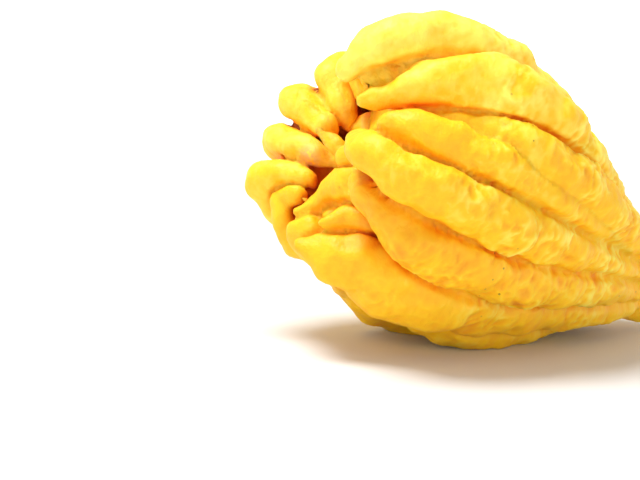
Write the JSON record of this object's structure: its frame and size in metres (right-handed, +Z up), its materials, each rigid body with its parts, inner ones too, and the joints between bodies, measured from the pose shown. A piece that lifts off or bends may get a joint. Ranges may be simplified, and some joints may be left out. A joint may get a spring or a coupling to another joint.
{
  "type": "buddha's hand citron",
  "caption": "Whole fingered citron of the closed kind, lying on its belly, its long lobes curling back in over the mouth, with a short cut stalk.",
  "frame": {"origin": "on the surface the fruit lies on, under the middle of its box", "axes": "+Z up; +X towards the stem end, along the fruit's level length; -Y towards the fullest side, with the mouth at -X"},
  "size_m": [0.2092, 0.1208, 0.1288],
  "materials": {
    "rind": "pitted, lightly waxy citrus rind, lemon to orange yellow",
    "stalk": "dry green-brown stalk, cut end paler"
  },
  "bodies": {
    "root": {"fruit": "rind", "stem_button": "stalk"}
  },
  "joints": []
}
